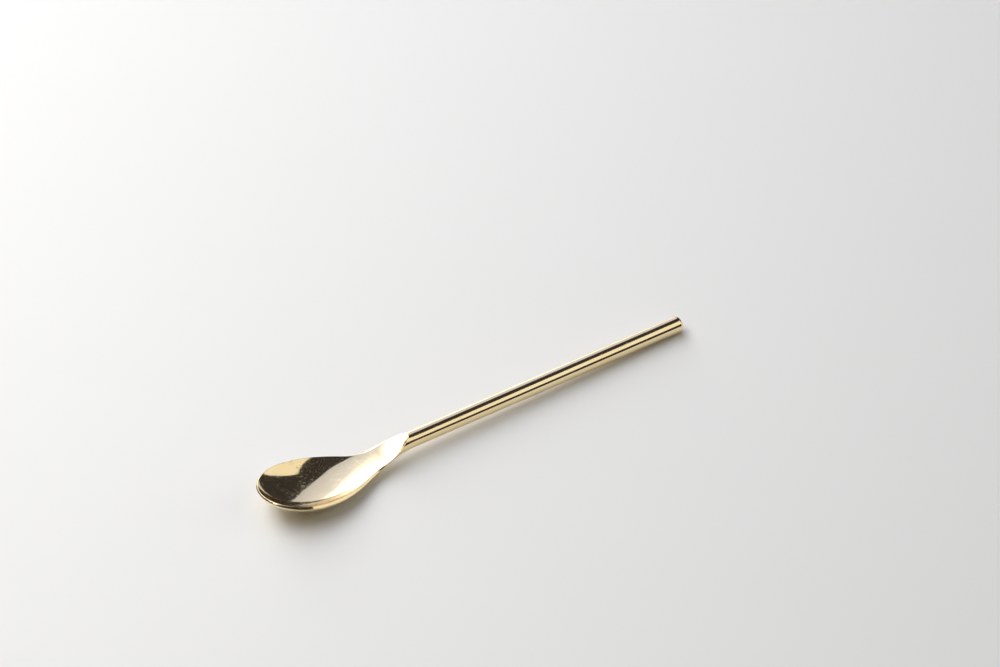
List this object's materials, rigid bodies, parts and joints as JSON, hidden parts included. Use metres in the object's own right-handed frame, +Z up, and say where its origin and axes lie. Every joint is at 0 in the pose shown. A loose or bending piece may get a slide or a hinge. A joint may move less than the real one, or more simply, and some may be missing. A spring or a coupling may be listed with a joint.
{
  "type": "bar spoon",
  "caption": "Slim straight-handled spoon in polished gold-tone metal, with a round bar handle and an egg-shaped bowl whose hollow runs up into the bar.",
  "frame": {"origin": "centre of the spoon's footprint, on the surface that it lies on", "axes": "+X from the tip of the bowl towards the end of the handle, +Z up out of the hollow, +Y across the spoon; lying as it rests, on the belly of the bowl and the end of the handle"},
  "size_m": [0.177, 0.0296, 0.0119],
  "materials": {
    "bowl_gold": "polished",
    "handle_gold": "polished",
    "plug_gold": "polished"
  },
  "bodies": {
    "root": {"bowl": "bowl_gold", "handle_tube": "handle_gold", "end_plug": "plug_gold"}
  },
  "joints": []
}
